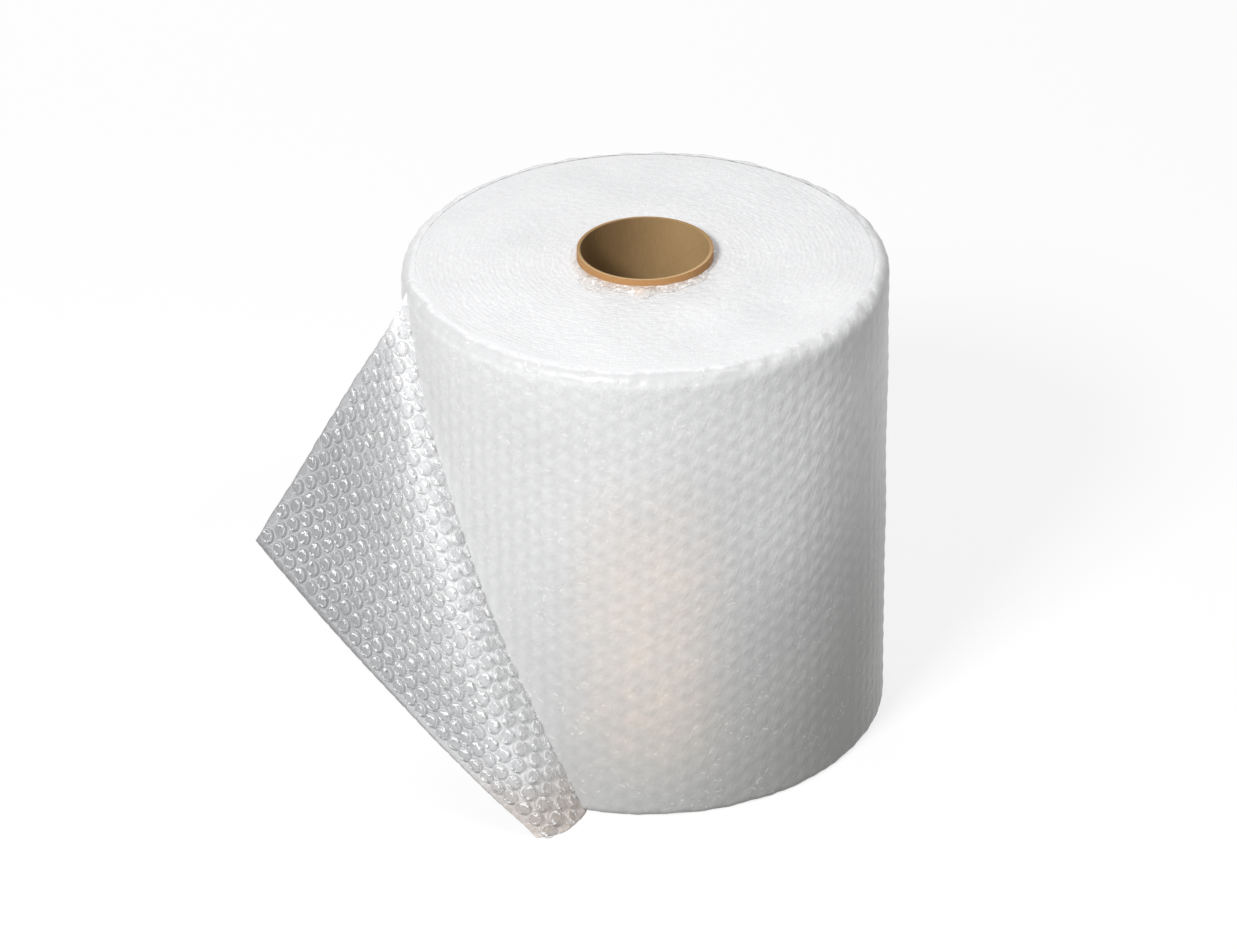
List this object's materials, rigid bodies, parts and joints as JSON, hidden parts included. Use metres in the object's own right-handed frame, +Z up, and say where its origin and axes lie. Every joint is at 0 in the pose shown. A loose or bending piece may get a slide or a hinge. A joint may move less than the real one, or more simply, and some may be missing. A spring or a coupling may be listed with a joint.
{
  "type": "bubble wrap roll",
  "caption": "Roll of clear bubble cushioning film wound on a cardboard core, standing on its end with the loose end creased and folded back.",
  "frame": {"origin": "on the roll's axis, in the plane of the floor that it stands on", "axes": "+Z up along the core's axis; the loose end folds back towards -X on the -Y side"},
  "size_m": [0.3863, 0.3135, 0.3065],
  "materials": {
    "bubble_film": "clear polyethylene film in many layers, milky white where it is wound",
    "cardboard_core": "plain brown spiral-wound board"
  },
  "bodies": {
    "root": {"bubble_film": "bubble_film", "cardboard_core": "cardboard_core"}
  },
  "joints": []
}
